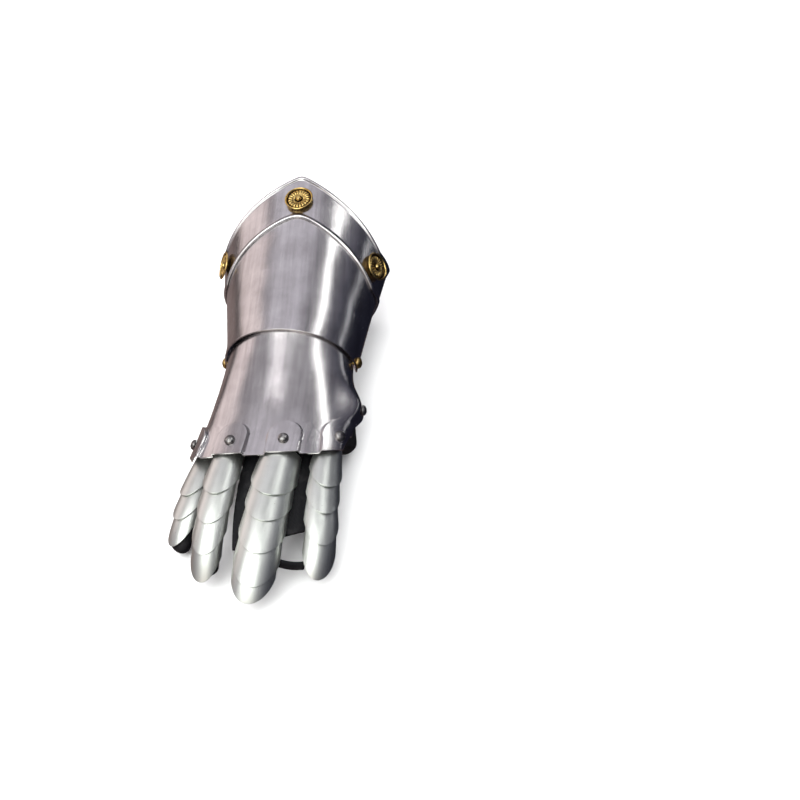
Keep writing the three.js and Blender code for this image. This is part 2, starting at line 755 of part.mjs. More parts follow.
// A flat web of leather between two fingers, just under the edges of their plates
function makeWeb(web) {
  const [first, second] = [web.first, web.second].map(fingerNumber);
  const flank = (index, along, towards) => {
    const line = fingerLines[index];
    const share = along / line.getLength();
    const { centre } = fingerFrame(fingers[index], line, share);
    const level = centre.z - webDrop;
    const sides = steps(40, 170, 52)
      .map((turn) => roundFinger(fingers[index], line, share, turn * towards, 1.3 * gap))
      .filter((point) => Math.abs(point.z - level) < webSheet);
    const out = Math.max(...sides.map((point) => point.x * towards));
    return new THREE.Vector3(out * towards, centre.y, level);
  };
  const face = (lift) => (across, along) => {
    const start = gap * 2;
    const left = flank(first, mix(start, web.firstEnd, along), 1);
    const right = flank(second, mix(start, web.secondEnd, along), -1);
    const narrow = mix(1, web.narrowing, along ** 2);
    const share = mix((1 - narrow) * 0.5, 1 - (1 - narrow) * 0.5, across);
    const point = left.lerp(right, share);
    if (along === 0) point.y = -palmFront - gap;
    point.z += lift;
    return point;
  };
  return sheetSolid({
    across: steps(0, 1, 3), along: steps(0, 1, 6),
    outside: face(webSheet / 2), inside: face(-webSheet / 2), closed: false,
  });
}

// The leather loop between two fingers, sewn to the flank of each
function makeFingerLoop() {
  const [first, second] = [loop.first, loop.second].map(fingerNumber);
  const flank = (index, along, turn) => {
    const share = along / fingerLines[index].getLength();
    return roundFinger(fingers[index], fingerLines[index], share, turn, loopStand);
  };
  const start = flank(first, loop.firstAt, loopTurn);
  const end = flank(second, loop.secondAt, -loopTurn - fingers[second].roll);
  const sag = start.clone().lerp(end, 0.5).add(new THREE.Vector3(0, -loopBow, -loopBow));
  const line = new THREE.QuadraticBezierCurve3(start, sag, end);
  const rings = steps(0, 1, 6).map((share) => {
    const centre = line.getPoint(share);
    const along = line.getTangent(share);
    const side = new THREE.Vector3(0, 0, 1).cross(along).normalize();
    const up = along.clone().cross(side);
    return steps(0, 360, 6).slice(0, -1).map((turn) => centre.clone()
      .addScaledVector(side, leather * 0.9 * Math.cos(radians(turn)))
      .addScaledVector(up, loopWidth / 2 * Math.sin(radians(turn))));
  });
  return loftSolid(rings);
}

// Steel of the cuff
addPiece('cuff', makeCuff(), steel);
addPiece('cuff_border', makeBorder(), steel);
for (const { name, place } of rosettePlaces) addPiece(name, turnedPiece(rosetteProfile(), 14, place), brass);
const pivotGrip = sheet + pivotClearance + sheet + pivotTailGap;
for (const { name, place } of pivotPlaces) {
  addPiece(name, turnedPiece(rivetProfile(pivotHead, pivotGrip), 10, place), brass);
}

// Steel of the hand
addPiece('hand_plate', makeHandPlate(), steel);
for (const { name, place } of knucklePlaces) {
  addPiece(name, turnedPiece(rivetProfile(knuckleHead, sheet + tailGap), 10, place), steel);
}
addPiece('thumb_rivet', turnedPiece(rivetProfile(knuckleHead, sheet + thumbTailGap), 10, thumbPlace), steel);

// Fingers: leather first, then the plates that lie on it like tiles
const fingerLines = fingers.map(fingerLine);
fingers.forEach((row, index) => {
  addPiece(`glove_${row.name}_finger`, makeGloveFinger(row, fingerLines[index]), blackLeather);
  plateEnds[row.name].ends.forEach((_, number) => {
    addPiece(`${row.name}_lame_${number + 1}`, makeLame(row, fingerLines[index], number), brightSteel);
  });
});
addPiece('glove_palm', makePalm(fingerLines), blackLeather);
for (const web of webs) addPiece(`glove_web_${web.first}_${web.second}`, makeWeb(web), blackLeather);
addPiece('finger_loop', makeFingerLoop(), blackLeather);

// Stand the gauntlet on z = 0 with its origin under the middle of its outline
const outline = new THREE.Box3().setFromObject(gauntlet, true);
const middle = outline.getCenter(new THREE.Vector3());
gauntlet.position.set(-middle.x, -middle.y, -outline.min.z);
gauntlet.updateMatrixWorld(true);

export default gauntlet;
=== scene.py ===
# %% [markdown]
# # An armoured gauntlet in Blender
#
# A steel gauntlet for the right hand lies palm down, as somebody put it down. A flared
# cuff with a pointed, brass-studded border is riveted at the wrist to a curved hand
# plate. Rows of small plates run down the fingers over a black leather glove.
#
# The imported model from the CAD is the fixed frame. Each cell makes a finer form of one
# of its pieces, from the same named sizes, so everything lands where the frame says.

# %% Load the frame
import json
import math

import bmesh
import bpy
import numpy as np
from mathutils import Matrix, Vector


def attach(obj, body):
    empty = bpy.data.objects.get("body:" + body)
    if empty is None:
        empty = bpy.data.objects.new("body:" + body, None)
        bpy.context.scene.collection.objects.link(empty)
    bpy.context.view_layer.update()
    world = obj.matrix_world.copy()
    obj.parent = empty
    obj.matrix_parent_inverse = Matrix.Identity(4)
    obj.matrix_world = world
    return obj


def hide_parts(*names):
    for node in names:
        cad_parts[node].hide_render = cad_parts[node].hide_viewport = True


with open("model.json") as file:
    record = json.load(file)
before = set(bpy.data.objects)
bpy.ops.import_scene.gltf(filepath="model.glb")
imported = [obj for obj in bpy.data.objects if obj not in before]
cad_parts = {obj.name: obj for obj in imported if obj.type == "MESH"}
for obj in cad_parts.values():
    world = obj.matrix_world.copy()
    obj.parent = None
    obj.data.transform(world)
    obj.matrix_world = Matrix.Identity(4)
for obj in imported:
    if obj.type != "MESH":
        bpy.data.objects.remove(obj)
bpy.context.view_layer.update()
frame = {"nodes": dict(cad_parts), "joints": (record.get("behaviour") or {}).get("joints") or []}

wrist = frame["joints"][0]

# %% [markdown]
# ## Sizes
#
# The drawing is in millimetres and starts from the wrist pivots. The same names and
# numbers shape the solids. Only the place of the pivots comes from the frame, since the
# whole drawing was moved so that its origin is under the middle of the gauntlet.

# %% Named sizes
SHEET, BORDER_SHEET, LEATHER, GAP = 1.2, 1.0, 1.8, 0.3
PIVOT_HEIGHT, WRIST_HALF_WIDTH, WRIST_RISE, WRIST_DEPTH = 42, 49.6, 39.7, 34
MOUTH_HALF_WIDTH, MOUTH_RISE, MOUTH_SHIFT, LOWER_TAPER = 64, 52, -8.3, 0.33
CUFF_SIDE, CUFF_PEAK, UNDERSIDE_CUTBACK = 97.5, 139.5, 9
PEAK_TURN, PEAK_SPAN, PEAK_ROUNDING = 4, 65, 2
FLARE_FROM, FLARE_CURVE, FLARE_EASE, WRIST_LIP, WRIST_CUTBACK = 6, 0.96, 8, 3.5, 30
BORDER_SIDE, BORDER_PEAK, BORDER_ROUNDING = 35.5, 40, 6
BEAD_WIDTH, BEAD_HEIGHT, ROLL = 2.4, 0.8, 1.7
ROLL_STAND = GAP + BORDER_SHEET / 2 + ROLL
PIVOT_CLEARANCE, PLATE_LENGTH, FRONT_BULGE, KNUCKLE_SLANT = 1.1, 81, 17, 5
KNUCKLE_HALF_WIDTH, KNUCKLE_RISE, KNUCKLE_BASE, KNUCKLE_SQUARENESS = 56.5, 13.5, -9, 2.1
SKIRT_WRIST, SKIRT_KNUCKLE, SKIRT_TUCK, TAIL_TURN, PLATE_TAB = 4.5, 1, 1.4, 22, 5
BOSS_HALF_WIDTH, BOSS_LENGTH, BOSS_HEIGHT, BOSS_SLOPE = 12.5, 28, 3, 1.3
SIDE_PULL, CORNER_CUT = 8, 12
THUMB_BOSS_HEIGHT, THUMB_BOSS_PLACE, THUMB_BOSS_REACH, THUMB_RIVET_TURN = 8, 38, 15, 94
PIVOT_HEAD, KNUCKLE_HEAD, RIVET_FROM_EDGE, SHANK = 4.2, 3.9, 11.5, 1.5
TAIL_GAP, THUMB_TAIL_GAP, PIVOT_TAIL_GAP, TAIL_SHEET = 0.7, 1.4, 1.4, 0.8
ROSETTE_RADIUS, ROSETTE_DISH, ROSETTE_HEIGHT = 10.8, 1.8, 3.9
PALM_FRONT, LAME_TURN, LAME_OVERLAP, LAME_EDGE_CURVE = PLATE_LENGTH - 13, 82, 6, 17
LAME_TUCK, LAST_LIFT, ROOT_GAP, TIP_STAND = 7, 1.2, 0.8, 0.45
FINGER_ROOT, FINGER_FLATNESS = PALM_FRONT + GAP * 1.5, 0.82
BEND_ACROSS, BEND_ALONG, BEND_RISE, SWING_FROM = 0.45, 0.76, 3, 0.62
LOOP_PLACE, LOOP_WIDTH, LOOP_TURN, LOOP_BOW, LOOP_STAND = 100, 7, 100, 1.5, 1.3
WEB_SHEET, WEB_DROP = 1.8, 5.5

# %% One row for each finger, and how its leather webs run
FINGERS = {
    "little": dict(turn=-80, root_x=-46.5, tip_x=-61, past=66, roll=-22, halves=(8.2, 7.8)),
    "ring": dict(turn=-24, root_x=-24.8, tip_x=-34.5, past=93, roll=0, halves=(9.6, 8.6)),
    "middle": dict(turn=15, root_x=12.6, tip_x=4.3, past=112, roll=16, halves=(13, 12.6)),
    "index": dict(turn=64, root_x=41.3, tip_x=50, past=90, roll=34, halves=(8.4, 9.4)),
}
PLATE_ENDS = {
    "little": dict(ends=(48, 64, 80.5), leather=85, swing=0),
    "ring": dict(ends=(57, 76.5, 95.5, 112.5), leather=110, swing=0),
    "middle": dict(ends=(60, 78, 98.5, 118, 127.5), leather=124, swing=3.5),
    "index": dict(ends=(46.5, 65.5, 85, 105), leather=102, swing=8.5),
}
WEBS = [("ring", "middle", 90, 90, 0.1), ("middle", "index", 81, 70, 1.0)]
SHIFT = np.array([wrist["pos_m"][0] * 1000, wrist["pos_m"][1] * 1000, 0.0])
print("fingers:", list(FINGERS), "drawing moved by", SHIFT)


# %% [markdown]
# ## Making a bent sheet
#
# Armour is sheet metal, so nearly every piece is one surface with a thickness. A grid of
# points for the outside and one for the inside are joined along their edges. A bevel
# then rounds the cut edges, as an armourer files them. Each point also carries its place
# across and along the sheet in millimetres, which the brushed finish follows.

# %% Small helpers
def mix(start, end, share):
    return start + (end - start) * share


def smooth(start, end, value):
    share = np.clip((value - start) / (end - start), 0, 1)
    return share * share * (3 - 2 * share)


def bent(value, power):
    return np.sign(value) * np.abs(value) ** (2 / power)


def unit(vectors):
    return vectors / np.linalg.norm(vectors, axis=-1, keepdims=True)


def lifted(surface, turn, place, lift, step=1e-3):
    """A surface's points, moved out along its own normals."""
    across = surface(turn + step, place) - surface(turn - step, place)
    along = surface(turn, place + step) - surface(turn, place - step)
    normal = unit(np.cross(across, along))
    angle = np.radians(turn)
    outward = normal[..., 0] * np.sin(angle) + normal[..., 2] * np.cos(angle)
    normal = normal * np.where(outward < 0, -1, 1)[..., None]
    return surface(turn, place) + normal * np.asarray(lift)[..., None], normal


# %% Turn grids of points into a mesh
def grid_faces(columns, rows, start=0, wrap=False, flip=False):
    faces = []
    for column in range(columns if wrap else columns - 1):
        following = (column + 1) % columns
        for row in range(rows - 1):
            a, b = start + column * rows + row, start + following * rows + row
            face = (a, b, b + 1, a + 1)
            faces.append(face[::-1] if flip else face)
    return faces


def make_piece(name, points, faces, body, finish, slot, nodes, grain=None, relief=None, soft=0.0):
    """A mesh object in metres that rides on a body and stands for its CAD nodes."""
    mesh = bpy.data.meshes.new(name)
    mesh.from_pydata(((points + SHIFT) / 1000).tolist(), [], faces)
    if grain is not None:
        flat = mesh.attributes.new("grain", "FLOAT_VECTOR", "POINT")
        flat.data.foreach_set("vector", grain.astype(np.float32).ravel())
    if relief is not None:
        high = mesh.attributes.new("relief", "FLOAT", "POINT")
        high.data.foreach_set("value", relief.astype(np.float32).ravel())
    work = bmesh.new()
    work.from_mesh(mesh)
    bmesh.ops.recalc_face_normals(work, faces=work.faces)
    work.to_mesh(mesh)
    work.free()
    mesh.polygons.foreach_set("use_smooth", [True] * len(mesh.polygons))
    mesh.materials.append(finish)
    piece = bpy.data.objects.new(name, mesh)
    bpy.context.scene.collection.objects.link(piece)
    if soft:
        bevel = piece.modifiers.new("filed_edges", "BEVEL")
        bevel.width, bevel.segments, bevel.limit_method = soft / 1000, 2, "ANGLE"
        bevel.angle_limit = math.radians(50)
        bevel.harden_normals = True
    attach(piece, body)
    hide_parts(*nodes)
    return piece


def sheet_piece(name, outer, inner, grain, wrap=False, **rest):
    """Joins an outside grid and an inside grid along all their edges."""
    columns, rows = outer.shape[:2]
    count = columns * rows
    points = np.concatenate([outer.reshape(-1, 3), inner.reshape(-1, 3)])
    faces = grid_faces(columns, rows, 0, wrap) + grid_faces(columns, rows, count, wrap, True)
    for column in range(columns if wrap else columns - 1):
        following = (column + 1) % columns
        for row in (0, rows - 1):
            a, b = column * rows + row, following * rows + row
            faces.append((a, b, b + count, a + count))
    if not wrap:
        for column in (0, columns - 1):
            for row in range(rows - 1):
                a = column * rows + row
                faces.append((a, a + 1, a + 1 + count, a + count))
    both = np.concatenate([grain.reshape(-1, 3), grain.reshape(-1, 3)])
    return make_piece(name, points, faces, grain=both, **rest)


def grain_of(grid):
    """Millimetres across and along a grid, measured over its surface."""
    across = np.zeros(grid.shape[:2])
    along = np.zeros(grid.shape[:2])
    across[1:] = np.cumsum(np.linalg.norm(np.diff(grid, axis=0), axis=2), axis=0)
    along[:, 1:] = np.cumsum(np.linalg.norm(np.diff(grid, axis=1), axis=2), axis=1)
    middle = across[len(across) // 2]
    return np.stack([across - middle, along, np.zeros_like(along)], -1)


# %% [markdown]
# ## Writing shaders as sums
#
# Node graphs are hard to read as code, so one small class wraps a socket. Adding,
# taking away or multiplying wrapped sockets makes the Math nodes. Every other node
# comes from one method, which takes its type, its settings and its socket values.

# %% A socket that can be added and multiplied
class Sum:
    """One value in a material's node tree, with ordinary arithmetic."""

    def __init__(self, finish, socket):
        self.finish, self.socket = finish, socket

    def maths(self, operation, *values):
        return self.finish.node("ShaderNodeMath", {"operation": operation}, dict(enumerate(values)))

    def __add__(self, other):
        return self.maths("ADD", self, other)

    def __mul__(self, other):
        return self.maths("MULTIPLY", self, other)

    def __sub__(self, other):
        return self.maths("SUBTRACT", self, other)

    def __rsub__(self, other):
        return self.maths("SUBTRACT", other, self)

    __radd__, __rmul__ = __add__, __mul__

    def above(self, start, end):
        """0 below start, 1 above end, and smooth between."""
        return self.finish.node(
            "ShaderNodeMapRange", {"interpolation_type": "SMOOTHSTEP"},
            {0: self, 1: start, 2: end, 3: 0.0, 4: 1.0},
        )


class Finish:
    """A material whose nodes are made by name, settings and socket values."""

    def __init__(self, name):
        self.material = bpy.data.materials.new(name)
        self.material.use_nodes = True
        self.tree = self.material.node_tree
        self.shader = self.tree.nodes["Principled BSDF"]

    def node(self, kind, settings=None, sockets=None, output=0):
        made = self.tree.nodes.new(kind)
        for key, value in (settings or {}).items():
            setattr(made, key, value)
        for key, value in (sockets or {}).items():
            if isinstance(value, Sum):
                self.tree.links.new(value.socket, made.inputs[key])
            else:
                made.inputs[key].default_value = value
        return Sum(self, made.outputs[output])

    def colours(self, share, first, second):
        """A colour between two others, by a changing share."""
        pair = {0: share}
        for key, colour in ((6, first), (7, second)):
            pair[key] = colour if isinstance(colour, Sum) else (*colour, 1.0)
        return self.node("ShaderNodeMix", {"data_type": "RGBA"}, pair, output=2)

    def stretched(self, place, scale):
        """A place, stretched by three numbers."""
        return self.node("ShaderNodeVectorMath", {"operation": "MULTIPLY"}, {0: place, 1: scale})

    def noise(self, place, detail=3.0, rough=0.5, scale=1.0):
        return self.node(
            "ShaderNodeTexNoise", {}, {"Vector": place, "Scale": scale, "Detail": detail, "Roughness": rough}
        )

    def bump(self, height, distance, strength=1.0, under=None):
        sockets = {"Height": height, "Distance": distance, "Strength": strength}
        if under is not None:
            sockets["Normal"] = under
        return self.node("ShaderNodeBump", {}, sockets)

    def set(self, **sockets):
        for key, value in sockets.items():
            socket = self.shader.inputs[key.replace("_", " ")]
            if isinstance(value, Sum):
                self.tree.links.new(value.socket, socket)
            else:
                socket.default_value = value


# %% [markdown]
# ## Steel
#
# The plates are mild steel, ground and polished by hand along their length. A worn belt
# leaves long streaks of brighter and duller metal, hair-fine lines, a few scratches
# across them and small dark pits. The same recipe makes the mirror-like large plates
# and the satin finger plates, so it is a function of a few numbers. The finger plates'
# paler base colour is partly their satin finish and partly a painted highlight, which
# stands in for the bright light they reflect.

# %% Brushed and polished steel
def steel(name, dark, light, dull, rough, waves, pits=0.5):
    finish = Finish(name)
    grain = finish.node("ShaderNodeAttribute", {"attribute_name": "grain"}, output=1)
    place = finish.node("ShaderNodeTexCoord", {}, output=3)
    bands = finish.noise(finish.stretched(grain, (0.16, 0.006, 1.0)), detail=4.0, rough=0.6)
    hairs = finish.noise(finish.stretched(grain, (2.6, 0.035, 1.0)), detail=3.0, rough=0.7)
    cross = finish.noise(finish.stretched(grain, (0.09, 1.3, 1.0)), detail=2.0)
    cloud = finish.noise(place, detail=4.0, rough=0.6, scale=38.0)
    specks = finish.noise(place, detail=2.0, rough=0.6, scale=620.0)
    scratch = cross.above(0.66, 0.72)
    pit = specks.above(0.69, 0.76) * cloud.above(0.42, 0.62) * pits
    bright = (bands * 0.4 + hairs * 0.16 + cloud * 0.44).above(0.26, 0.74)
    colour = finish.colours(bright, dark, light)
    colour = finish.colours(pit, colour, dull)
    shape = finish.noise(place, detail=1.0, scale=21.0)
    under = finish.bump(shape, waves)
    lines = finish.bump(bands * 0.6 + hairs * 0.25 + scratch * 0.03 - pit * 0.3, 0.00008, under=under)
    finish.set(
        Base_Color=colour, Metallic=1.0, Normal=lines,
        Roughness=rough + (bands * 0.06 - 0.03) + hairs * 0.08 + scratch * 0.03 + pit * 0.2,
    )
    return finish.material


plate_steel = steel("plate_steel", (0.44, 0.415, 0.42), (0.8, 0.775, 0.78), (0.12, 0.09, 0.08), 0.19, 0.0018)
# A paler copy of the steel for the finger plates: the satin roughness is real, and the near-white base
# colour is partly a painted highlight.
finger_steel = steel(
    "finger_steel", (0.72, 0.74, 0.7), (0.93, 0.95, 0.91), (0.2, 0.16, 0.12), 0.38, 0.0009, 0.8
)
print("steel:", plate_steel.name, finger_steel.name)

# %% [markdown]
# ## Brass, rivets and leather
#
# The rosettes are cast brass whose hollows have gone nearly black, while their high
# spots stay bright from rubbing. The relief that is stored on the mesh drives that.
# Rivet heads are darker steel. The leather is black, with fine pebbles and soft creases.

# %% Brass with dark hollows
def aged_brass():
    finish = Finish("aged_brass")
    relief = finish.node("ShaderNodeAttribute", {"attribute_name": "relief"}, output=2)
    place = finish.node("ShaderNodeTexCoord", {}, output=3)
    wear = finish.noise(place, detail=4.0, rough=0.65, scale=260.0)
    shine = (relief + wear * 0.6 - 0.3).above(0.42, 0.78)
    gold = finish.colours(wear, (0.75, 0.46, 0.11), (0.95, 0.74, 0.33))
    finish.set(
        Base_Color=finish.colours(shine, (0.02, 0.01, 0.004), gold), Metallic=1.0,
        Roughness=0.52 - shine * 0.26, Normal=finish.bump(wear, 0.00018),
    )
    return finish.material


def rivet_metal(name, dark, light):
    finish = Finish(name)
    place = finish.node("ShaderNodeTexCoord", {}, output=3)
    wear = finish.noise(place, detail=4.0, rough=0.6, scale=420.0)
    finish.set(
        Base_Color=finish.colours(wear.above(0.35, 0.65), dark, light), Metallic=1.0,
        Roughness=0.25 + wear * 0.2, Normal=finish.bump(wear, 0.00012),
    )
    return finish.material


# %% Black leather
def black_leather():
    finish = Finish("black_leather")
    place = finish.node("ShaderNodeTexCoord", {}, output=3)
    cells = finish.node("ShaderNodeTexVoronoi", {"feature": "SMOOTH_F1"}, {"Vector": place, "Scale": 900.0})
    creases = finish.noise(place, detail=5.0, rough=0.6, scale=90.0)
    worn = creases.above(0.5, 0.75)
    height = cells * 0.5 + creases * 1.2
    finish.set(
        Base_Color=finish.colours(worn, (0.004, 0.004, 0.005), (0.014, 0.013, 0.014)),
        Roughness=0.62 - worn * 0.16 + cells * 0.1, Normal=finish.bump(height, 0.0004),
        Specular_IOR_Level=0.3,
    )
    return finish.material


brass = aged_brass()
wrist_brass = rivet_metal("wrist_brass", (0.42, 0.26, 0.08), (0.72, 0.52, 0.22))
rivet_steel = rivet_metal("rivet_steel", (0.16, 0.15, 0.15), (0.46, 0.45, 0.44))
leather = black_leather()
print("finishes:", [m.name for m in (brass, wrist_brass, rivet_steel, leather)])

# %% [markdown]
# ## The cuff
#
# The cuff is a tube that flares from the wrist to the forearm. Its section is an oval
# that grows, and a curve for each end gives the point at the back of the forearm and
# the cutback under the wrist. A lathe can't make the point, so it is a grid of sections.

# %% Cuff sections
def cuff_section(turn, y):
    opened = (np.hypot(y - FLARE_FROM, FLARE_EASE) + y - FLARE_FROM) / 2
    grown = (opened / (CUFF_SIDE - FLARE_FROM)) ** FLARE_CURVE
    angle = np.radians(turn)
    rise = mix(WRIST_RISE, MOUTH_RISE, grown)
    depth = mix(WRIST_DEPTH, PIVOT_HEIGHT - ROLL_STAND, grown)
    height = np.where(np.cos(angle) > 0, rise, depth)
    taper = 1 - LOWER_TAPER * grown * np.maximum(0, -np.cos(angle))
    x = mix(WRIST_HALF_WIDTH, MOUTH_HALF_WIDTH, grown) * np.sin(angle) * taper + MOUTH_SHIFT * grown
    return np.stack([x, y + 0 * x, PIVOT_HEIGHT + height * np.cos(angle)], -1)


def peak_share(turn, rounding):
    away = np.hypot(turn - PEAK_TURN, rounding) - rounding
    return np.maximum(0, 1 - away / PEAK_SPAN) ** 1.1


def cuff_start(turn):
    return mix(-WRIST_LIP, WRIST_CUTBACK, smooth(97, 150, np.abs(turn)))


def underside_cut(turn):
    return UNDERSIDE_CUTBACK * smooth(85, 150, np.abs(turn))


def mouth_line(turn):
    return mix(CUFF_SIDE, CUFF_PEAK, peak_share(turn, PEAK_ROUNDING)) - underside_cut(turn)


def border_line(turn):
    side, peak = CUFF_SIDE - BORDER_SIDE, CUFF_PEAK - BORDER_PEAK
    return mix(side, peak, peak_share(turn, BORDER_ROUNDING)) - underside_cut(turn)


# %% Cuff
turns = np.linspace(-180, 180, 216, endpoint=False)[:, None]
shares = np.linspace(0, 1, 56)[None, :]
cuff_y = mix(cuff_start(turns), mouth_line(turns) - 2 * ROLL - GAP, shares)
cuff_turns = turns + 0 * cuff_y
cuff_out, _ = lifted(cuff_section, cuff_turns, cuff_y, 0 * cuff_y)
cuff_in, _ = lifted(cuff_section, cuff_turns, cuff_y, 0 * cuff_y - SHEET)
cuff = sheet_piece(
    "steel_cuff", cuff_out, cuff_in, grain_of(cuff_out), wrap=True, soft=0.35,
    body="cuff", finish=plate_steel, slot="plate_steel", nodes=["cuff"],
)
print("cuff:", len(cuff.data.polygons), "faces")

# %% [markdown]
# ## The border
#
# A second, thinner sheet lies over the cuff's mouth. Its lower edge is turned up into a
# small bead and its rim is rolled round a wire. One row of the table below is one line
# of points: how far it lies from the lower edge or the rim, and how far its outside and
# inside stand off the cuff.

# %% Border with its bead and rolled rim
top, middle = GAP + BORDER_SHEET, GAP + BORDER_SHEET / 2
edge_rows = [(0.0, top * 0.75, GAP)]
for step in np.linspace(0, 1, 9):
    swell = BEAD_HEIGHT * max(0, math.sin(math.pi * step)) ** 0.8
    edge_rows.append((0.25 + step * BEAD_WIDTH, top + swell, GAP))
rim_rows = []
for degrees in np.linspace(28, 158, 14):
    bulge = ROLL * math.sin(math.radians(degrees))
    rim_rows.append((ROLL * (1 + math.cos(math.radians(degrees))), middle + bulge, middle - bulge))
flat_shares = np.linspace(0, 1, 22)[1:-1]


def border_rows(turn):
    rows = [(border_line(turn) + away, out, inner) for away, out, inner in edge_rows]
    low, high = rows[-1][0] + 0.4, mouth_line(turn) - 2 * ROLL - 0.5
    rows += [(mix(low, high, share), top, GAP) for share in flat_shares]
    rows.append((mouth_line(turn) - 2 * ROLL, top * 0.92, GAP))
    rows += [(mouth_line(turn) - away, out, inner) for away, out, inner in rim_rows]
    return rows


table = [border_rows(turn) for turn in turns[:, 0]]
border_y, border_out, border_in = (np.array([[row[k] for row in rows] for rows in table]) for k in range(3))
border_turns = turns + 0 * border_y
band_out, _ = lifted(cuff_section, border_turns, border_y, border_out)
band_in, _ = lifted(cuff_section, border_turns, border_y, border_in)
border = sheet_piece(
    "steel_border", band_out, band_in, grain_of(band_out), wrap=True,
    body="cuff", finish=plate_steel, slot="plate_steel", nodes=["cuff_border"],
)
print("border:", len(border.data.polygons), "faces")

# %% [markdown]
# ## Pieces turned on an axis
#
# Rivets and rosettes are round, so each is a profile turned about its own axis and then
# stood on the surface it holds. The rosette's petals and beads are added as a height
# that changes round the turn, which keeps it one closed body.

# %% Stand a round piece on a surface
def turned_piece(name, profile, place, normal, sides, ripple=None, **rest):
    up = unit(normal)
    side = unit(np.cross(up, np.array([0.0, 1.0, 0.0]) if abs(up[1]) < 0.9 else np.array([1.0, 0.0, 0.0])))
    front = np.cross(side, up)
    angles = np.linspace(0, 2 * math.pi, sides, endpoint=False)
    points, relief = [], []
    for angle in angles:
        for radius, height, depth in profile:
            rise, high = ripple(radius, angle) if ripple and depth else (0.0, 0.6)
            out = side * math.cos(angle) + front * math.sin(angle)
            points.append(place + out * radius + up * (height + rise * depth))
            relief.append(high)
    rows = len(profile)
    faces = grid_faces(sides, rows, 0, True)
    faces.append(tuple(column * rows for column in range(sides)))
    faces.append(tuple(column * rows + rows - 1 for column in range(sides))[::-1])
    return make_piece(name, np.array(points), faces, relief=np.array(relief), **rest)


def on_cuff(turn, y):
    point, normal = lifted(cuff_section, np.array([turn * 1.0]), np.array([y * 1.0]), np.zeros(1))
    return point[0], normal[0]


# %% Rosettes
PETALS, BEADS = 20, 26


def rosette_relief(radius, angle):
    """Petals, a ring of beads and a knob, as height in millimetres and as brightness."""
    share = radius / ROSETTE_RADIUS
    petal = abs(math.cos(angle * PETALS / 2)) ** 0.6
    bead = abs(math.cos(angle * BEADS / 2)) ** 0.8
    if share > 0.85:
        return 0.0, 0.9
    if share > 0.76:
        return -0.35, 0.0
    if share > 0.42:
        return 1.0 * petal * max(0, math.sin(math.pi * (share - 0.42) / 0.34)) ** 0.5, petal
    if share > 0.3:
        return 0.35 * bead, bead
    return 0.0, 0.35 + 0.6 * (share < 0.2)


def rosette_profile():
    base, grip = GAP + BORDER_SHEET + GAP, SHEET + TAIL_GAP
    back = [(0.05, -grip - TAIL_SHEET, 0), (2 * SHANK, -grip - TAIL_SHEET, 0), (2 * SHANK, -grip, 0)]
    back += [(SHANK, -grip, 0), (SHANK, base, 0), (ROSETTE_RADIUS * 0.4, base, 0)]
    back += [(ROSETTE_RADIUS * 0.94, base + ROSETTE_DISH, 0), (ROSETTE_RADIUS, base + ROSETTE_DISH + 0.5, 0)]
    front = []
    rim_part, petal_part, knob_part = (1, 0.76, 9), (0.74, 0.2, 26), (0.18, 0.005, 8)
    for share in np.concatenate([np.linspace(*part) for part in (rim_part, petal_part, knob_part)]):
        rim = 0.9 * math.exp(-(((share - 0.93) / 0.05) ** 2))
        dish = ROSETTE_DISH * mix(0.55, 1.0, share ** 2) + 0.5 + rim
        knob = (ROSETTE_HEIGHT - 1.5) * smooth(0.26, 0.1, share) if share < 0.26 else 0.0
        front.append((ROSETTE_RADIUS * share, base + dish + knob, 1))
    return back + front


for side, turn, share in (("centre", 0, 0.4), ("left", -68, 0.5), ("right", 66, 0.5)):
    turn = turn + PEAK_TURN
    place, normal = on_cuff(turn, mix(border_line(turn), mouth_line(turn), share))
    turned_piece(
        f"brass_rosette_{side}", rosette_profile(), place, normal, 160, rosette_relief,
        body="cuff", finish=brass, slot="brass", nodes=[f"rosette_{side}"],
    )
print("rosettes: 3, with", PETALS, "petals each")


# %% Rivets
def rivet_profile(head, grip):
    rows = [(0.05, -grip - TAIL_SHEET, 0), (2 * SHANK, -grip - TAIL_SHEET, 0), (2 * SHANK, -grip, 0)]
    rows += [(SHANK, -grip, 0), (SHANK, GAP, 0), (head * 0.97, GAP, 0), (head, GAP + 0.25, 0)]
    for degrees in np.linspace(84, 1, 12):
        angle = math.radians(degrees)
        rows.append((head * math.sin(angle), GAP + head * 0.75 * math.cos(angle) ** 0.9, 0))
    return rows


for side, sign in (("left", -1), ("right", 1)):
    place, _ = on_cuff(90 * sign, 0)
    turned_piece(
        f"wrist_pivot_{side}", rivet_profile(PIVOT_HEAD, SHEET + PIVOT_CLEARANCE + SHEET + PIVOT_TAIL_GAP),
        place, np.array([sign * 1.0, 0, 0]), 40,
        body="cuff", finish=wrist_brass, slot="brass", nodes=[f"wrist_rivet_{side}"],
    )
print("wrist pivots: 2")

# %% [markdown]
# ## The hand plate
#
# One arched sheet covers the back of the hand. It narrows under the cuff at the wrist,
# where two rivets let it swing, and spreads and flattens towards the knuckles. There
# four tongues are embossed, one for each finger, with a rivet in each.

# %% Hand plate sections
PLATE_WRIST_HALF = WRIST_HALF_WIDTH - SHEET - PIVOT_CLEARANCE
PLATE_WRIST_RISE = WRIST_RISE - SHEET - PIVOT_CLEARANCE


def plate_reach(turn):
    """How far the plate reaches from the wrist pivots along each line of its arch."""
    angle = np.radians(np.clip(turn, -90, 90))
    return PLATE_LENGTH - KNUCKLE_SLANT * turn / 90 + FRONT_BULGE * np.cos(angle)


